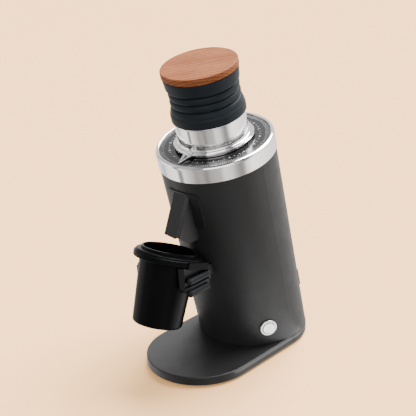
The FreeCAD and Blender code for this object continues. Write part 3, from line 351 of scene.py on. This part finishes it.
TO_COLUMN = COLUMN.inverted()
DIAL_FACE = max((TO_COLUMN @ vertex.co).z for vertex in NODES["dial_plate"].data.vertices)
PAINT_RADII = (51.6 * MM, 56.4 * MM)
PAINT_DEPTHS = (0.06 * MM, 0.2 * MM)
SLOTS = {
    "painted_steel": powder_coat("base powder coat", 0.0115, 0.4, 1500.0, 0.00007, 0.33),
    "painted_shell": powder_coat("column powder coat", 0.0165, 0.46, 1900.0, 0.00004, 0.25),
    "painted_metal": powder_coat("chute powder coat", 0.011, 0.4, 1900.0, 0.00004),
    "polished_aluminium": turned_metal("polished aluminium", (0.92, 0.9, 0.89), 0.11, 0.35,
                                       0.00001),
    "cast_aluminium": cast_metal("cast aluminium", (0.55, 0.55, 0.56), 0.42),
    "dial_black": dial_black("dial black"),
    "steel": cast_metal("machined steel", (0.5, 0.5, 0.51), 0.3),
    "brushed_steel": brushed("brushed steel", (0.72, 0.71, 0.7), 0.26, (1.0, 1.0, 0.06)),
    "motor_steel": cast_metal("motor steel", (0.3, 0.29, 0.29), 0.4),
    "brass": cast_metal("brass", (0.7, 0.5, 0.2), 0.28),
    "chrome": brushed("chrome", (0.86, 0.86, 0.86), 0.12, (0.3, 1.0, 1.0)),
    "rubber": moulded("foot rubber", (0.012, 0.012, 0.012), 0.75),
    "soft_rubber": moulded("rail rubber", (0.009, 0.0102, 0.0122), 0.5, specular=0.12),
    "silicone": silicone("black silicone"),
    "black_plastic": moulded("black plastic", (0.004, 0.0046, 0.0056), 0.4, specular=0.18),
    "anodised_black": anodised("black anodised", 0.003, 0.3),
    "board": board_green("circuit board"),
    "wood": walnut("walnut"),
}
PRINT = printed("dial print")


def dress(thing, material):
    thing.data.materials.clear()
    thing.data.materials.append(material)


for part in frame["record"]["subparts"]:
    dress(NODES[part["node"]], SLOTS[part["material_slot"]])


# ---------------------------------------------------------------- new pieces
def mesh_piece(name, points, faces, smooth=True):
    mesh = bpy.data.meshes.new(name)
    mesh.from_pydata([tuple(p) for p in points], [], faces)
    mesh.update()
    for polygon in mesh.polygons:
        polygon.use_smooth = smooth
    piece = bpy.data.objects.new(name, mesh)
    bpy.context.scene.collection.objects.link(piece)
    return piece


def rounded(outline, steps, share):
    """Round a closed outline: each step cuts every corner by that share of its sides."""
    for _ in range(steps):
        finer = []
        for i, point in enumerate(outline):
            following = outline[(i + 1) % len(outline)]
            finer.append(tuple(a + (b - a) * share for a, b in zip(point, following)))
            finer.append(tuple(b + (a - b) * share for a, b in zip(point, following)))
        outline = finer
    return outline


def turned_piece(name, outline, segments):
    """A closed outline of (radius, height) in the column's frame, turned about its axis."""
    points = []
    for turn in range(segments):
        angle = 2 * math.pi * turn / segments
        for radius, height in outline:
            points.append(COLUMN @ Vector((radius * math.cos(angle), radius * math.sin(angle),
                                           height)))
    count = len(outline)
    faces = []
    for turn in range(segments):
        after = (turn + 1) % segments
        for i in range(count):
            j = (i + 1) % count
            faces.append((turn * count + i, after * count + i, after * count + j,
                          turn * count + j))
    piece = mesh_piece(name, points, faces)
    tidy = bmesh.new()
    tidy.from_mesh(piece.data)
    bmesh.ops.recalc_face_normals(tidy, faces=tidy.faces)
    tidy.to_mesh(piece.data)
    tidy.free()
    return piece


def sweep(centre, reach, start, stop, steps=6, fullness=1.0):
    """Points on an ellipse between two angles in degrees; a low fullness squares its crest."""
    points = []
    for step in range(steps + 1):
        angle = math.radians(start + (stop - start) * step / steps)
        points.append((centre[0] + reach[0] * max(math.cos(angle), 0.0) ** fullness,
                       centre[1] + reach[1] * math.sin(angle)))
    return points


# the bellows' radii and heights in the column's frame, in mm
FOLD_CRESTS = (48.5, 56.3)
FOLD_HALF = 3.9
FOLD_VALLEY = 33.1
FOLD_DEPTH = 2.7
FOLD_WALL = 2.1
FOLD_FULLNESS = 0.95
FOLD_BOTTOM = FOLD_CRESTS[0] - FOLD_HALF
FOLD_TOP = FOLD_CRESTS[1] + FOLD_HALF
FOLD_POINTS = 9
SHOULDER_HEIGHT = 38.4
SHOULDER_DEPTH = 3.75
FLARE_HEIGHT = 64.5
FLARE_DEPTH = 4.1
WALL_THINNING = 0.4
BELLOWS_SEGMENTS = 160


def make_bellows():
    """The silicone bellows: a cuff with a shoulder, two round folds, and a flared top band."""
    outside = [(36.7, 28.1), (37.6, 28.3), (38.0, 29.2), (37.9, 36.6), (37.15, 37.5)]
    outside += sweep((FOLD_VALLEY, SHOULDER_HEIGHT), (SHOULDER_DEPTH, FOLD_BOTTOM - SHOULDER_HEIGHT),
                     0, 90)
    for crest in FOLD_CRESTS:
        outside += sweep((FOLD_VALLEY, crest), (FOLD_DEPTH, FOLD_HALF), -90, 90, FOLD_POINTS,
                         FOLD_FULLNESS)[1:]
    outside += sweep((FOLD_VALLEY, FLARE_HEIGHT), (FLARE_DEPTH, FLARE_HEIGHT - FOLD_TOP), -90, 0)[1:]
    outside += [(38.3, 74.0), (38.1, 74.8)]
    inside = [(33.8, 74.8), (33.6, 74.0), (33.6, 65.0), (32.4, 62.4)]
    for crest in reversed(FOLD_CRESTS):
        inside += sweep((FOLD_VALLEY - FOLD_WALL, crest), (FOLD_DEPTH - WALL_THINNING, FOLD_HALF),
                        90, -90, FOLD_POINTS, FOLD_FULLNESS)[:-1]
    inside += [(31.6, 44.9), (33.0, 44.1), (35.35, 43.2), (35.35, 29.4), (36.1, 28.6)]
    outline = [(radius * MM, height * MM) for radius, height in outside + inside]
    piece = turned_piece("bellows_folds", rounded(outline, 2, 0.25),
                         BELLOWS_SEGMENTS)
    dress(piece, SLOTS["silicone"])
    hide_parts("bellows")
    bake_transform(piece)


NUMBER_RADIUS = 46.4 * MM
NUMBER_SIZE = 3.1 * MM
NUMBERS = 18
FIRST_ANGLE = -90.0
DOTS_BETWEEN = 2
DOT_RADIUS = 0.34 * MM
DOT_LEVELS = (0.005 * MM, 0.05 * MM)
DOT_SIDES = 12


def dial_point(radius, angle):
    turn = math.radians(angle)
    return Vector((radius * math.cos(turn), radius * math.sin(turn), DIAL_FACE))


def make_numbers():
    """Numbers round the dial, one for every tenth mark, read from outside the ring."""
    labels = []
    for i in range(NUMBERS):
        text = bpy.data.curves.new("dial_number_%d" % i, "FONT")
        text.body = str(i)
        text.size = NUMBER_SIZE
        text.align_x = "CENTER"
        text.align_y = "CENTER"
        text.extrude = 0.02 * MM
        text.resolution_u = 3
        label = bpy.data.objects.new("dial_number_%d" % i, text)
        bpy.context.scene.collection.objects.link(label)
        turn = Matrix.Rotation(math.radians(360.0 / NUMBERS * i), 4, "Z")
        label.matrix_world = COLUMN @ turn @ Matrix.Translation(
            Vector((0, -NUMBER_RADIUS, DIAL_FACE + 0.03 * MM)))
        labels.append(label)
    bpy.context.view_layer.update()
    graph = bpy.context.evaluated_depsgraph_get()
    whole = bmesh.new()
    for label in labels:
        mesh = bpy.data.meshes.new_from_object(label.evaluated_get(graph))
        mesh.transform(label.matrix_world)
        whole.from_mesh(mesh)
        bpy.data.meshes.remove(mesh)
        bpy.data.objects.remove(label)
    mesh = bpy.data.meshes.new("dial_numbers")
    whole.to_mesh(mesh)
    whole.free()
    piece = bpy.data.objects.new("dial_numbers", mesh)
    bpy.context.scene.collection.objects.link(piece)
    dress(piece, PRINT)
    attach(piece, "column")


def make_dots():
    """Small printed dots on the numbers' circle, between each pair of numbers."""
    points = []
    faces = []
    every = DOTS_BETWEEN + 1
    places = NUMBERS * every
    for i in range(places):
        if i % every == 0:
            continue
        centre = dial_point(NUMBER_RADIUS, FIRST_ANGLE + 360.0 / places * i)
        first = len(points)
        for level in DOT_LEVELS:
            for corner in range(DOT_SIDES):
                turn = 2 * math.pi * corner / DOT_SIDES
                rim = Vector((DOT_RADIUS * math.cos(turn), DOT_RADIUS * math.sin(turn), level))
                points.append(COLUMN @ (centre + rim))
        faces.append(tuple(first + DOT_SIDES + k for k in range(DOT_SIDES)))
        faces.append(tuple(first + DOT_SIDES - 1 - k for k in range(DOT_SIDES)))
        for k in range(DOT_SIDES):
            after = (k + 1) % DOT_SIDES
            faces.append((first + k, first + after, first + DOT_SIDES + after,
                          first + DOT_SIDES + k))
    piece = mesh_piece("dial_dots", points, faces, smooth=False)
    dress(piece, PRINT)
    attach(piece, "column")


make_bellows()
make_numbers()
make_dots()


# ---------------------------------------------------------------- floor, light and camera
FLOOR_COLOUR = (0.88, 0.51, 0.235)
FLOOR_GLOW = (0.35, 0.18, 0.05)
FLOOR_HALF = 6.0


def make_floor():
    """A plain pale floor that doesn't tint the object: it glows a little and isn't reflected."""
    corners = [(-FLOOR_HALF, -FLOOR_HALF, 0), (FLOOR_HALF, -FLOOR_HALF, 0),
               (FLOOR_HALF, FLOOR_HALF, 0), (-FLOOR_HALF, FLOOR_HALF, 0)]
    floor = mesh_piece("floor", corners, [(0, 1, 2, 3)])
    material, tree, shader, place = new_material("floor", FLOOR_COLOUR, 0.9, specular=0.05)
    patch = noise(tree, place, 2.2, 2.0)
    link(tree, mix(tree, patch, tuple(c * 0.98 for c in FLOOR_COLOUR),
                   tuple(c * 1.02 for c in FLOOR_COLOUR)), shader.inputs["Base Color"])
    shader.inputs["Emission Color"].default_value = (*FLOOR_GLOW, 1.0)
    shader.inputs["Emission Strength"].default_value = 1.0
    floor.visible_glossy = False
    floor.visible_diffuse = False
    dress(floor, material)


def add_lamp(name, data, place, aim):
    lamp = bpy.data.objects.new(name, data)
    bpy.context.scene.collection.objects.link(lamp)
    lamp.location = place
    lamp.rotation_euler = (Vector(aim) - Vector(place)).to_track_quat("-Z", "Y").to_euler()
    lamp.visible_camera = False
    return lamp


def soft_sun(name, place, aim, strength, spread):
    data = bpy.data.lights.new(name, "SUN")
    data.energy = strength
    data.angle = math.radians(spread)
    return add_lamp(name, data, place, aim)


def area_light(name, place, aim, width, power):
    data = bpy.data.lights.new(name, "AREA")
    data.size = width
    data.energy = power
    return add_lamp(name, data, place, aim)


# brightness round the horizon: shares of a full turn, and the level there
WORLD_BANDS = [(0.0, 1.2), (0.04, 2.4), (0.115, 2.8), (0.125, 0.45), (0.148, 0.5), (0.158, 2.2),
               (0.185, 1.5), (0.215, 1.1), (0.24, 0.65), (0.28, 0.75), (0.31, 0.45), (0.335, 0.8),
               (0.39, 0.95), (0.415, 1.9), (0.455, 1.6), (0.475, 0.9), (0.5, 0.5), (0.52, 0.6),
               (0.54, 2.0), (0.57, 3.2), (0.66, 2.7), (0.78, 2.2), (0.87, 2.6), (0.95, 2.0),
               (1.0, 1.2)]


def make_world():
    """A soft studio: pale cards and darker gaps round the object, lighter below than above."""
    world = bpy.data.worlds.new("studio")
    world.use_nodes = True
    tree = world.node_tree
    background = tree.nodes["Background"]
    direction = tree.nodes.new("ShaderNodeTexCoord").outputs["Generated"]
    x, y, z = split(tree, direction)
    turn = math_node(tree, "ARCTAN2", y, x)
    share = math_node(tree, "ADD", math_node(tree, "MULTIPLY", turn, 0.5 / math.pi), 0.5)
    bands = ramp(tree, share, WORLD_BANDS)
    height = math_node(tree, "ADD", math_node(tree, "MULTIPLY", z, 0.5), 0.5)
    level = ramp(tree, height, [(0.0, (0.6, 0.58, 0.56)), (0.2, (1.0, 0.96, 0.93)),
                                (0.52, (1.0, 0.97, 0.95)), (0.7, (0.66, 0.66, 0.67)),
                                (1.0, (0.25, 0.25, 0.26))])
    blend = tree.nodes.new("ShaderNodeMix")
    blend.data_type = "RGBA"
    blend.blend_type = "MULTIPLY"
    blend.inputs[0].default_value = 1.0
    link(tree, bands, blend.inputs[6])
    link(tree, level, blend.inputs[7])
    link(tree, blend.outputs[2], background.inputs["Color"])
    background.inputs["Strength"].default_value = 0.75
    bpy.context.scene.world = world


CAMERA_AZIMUTH = math.radians(44.02)
CAMERA_ELEVATION = math.radians(21.62)
CAMERA_ROLL = math.radians(-2.92)
CAMERA_DISTANCE = 1.0185
CAMERA_TARGET = HEAD + Vector((0.0, -0.01415, -0.0709))
CAMERA_LENS = 86.45


def make_camera():
    back = Vector((math.sin(CAMERA_AZIMUTH) * math.cos(CAMERA_ELEVATION),
                   -math.cos(CAMERA_AZIMUTH) * math.cos(CAMERA_ELEVATION),
                   math.sin(CAMERA_ELEVATION)))
    right = (-back).cross(Vector((0, 0, 1))).normalized()
    up = right.cross(-back)
    side = right * math.cos(CAMERA_ROLL) + up * math.sin(CAMERA_ROLL)
    top = up * math.cos(CAMERA_ROLL) - right * math.sin(CAMERA_ROLL)
    data = bpy.data.cameras.new("camera")
    data.lens = CAMERA_LENS
    data.sensor_width = 36.0
    camera = bpy.data.objects.new("camera", data)
    bpy.context.scene.collection.objects.link(camera)
    turn = Matrix((side, top, back)).transposed().to_4x4()
    camera.matrix_world = Matrix.Translation(CAMERA_TARGET + back * CAMERA_DISTANCE) @ turn
    bpy.context.scene.camera = camera


make_floor()
make_world()
soft_sun("key", (0.0, 1.0, 1.65), (0, 0, 0), 13.0, 50.0)
area_light("fill", (0.75, -1.0, 0.9), (0, 0, 0.12), 1.2, 11.0)
bounce = area_light("bounce", (0.118, 0.02, 0.008), (0.116, 0.02, 1.0), 0.12, 0.12)
bounce.visible_diffuse = False
make_camera()
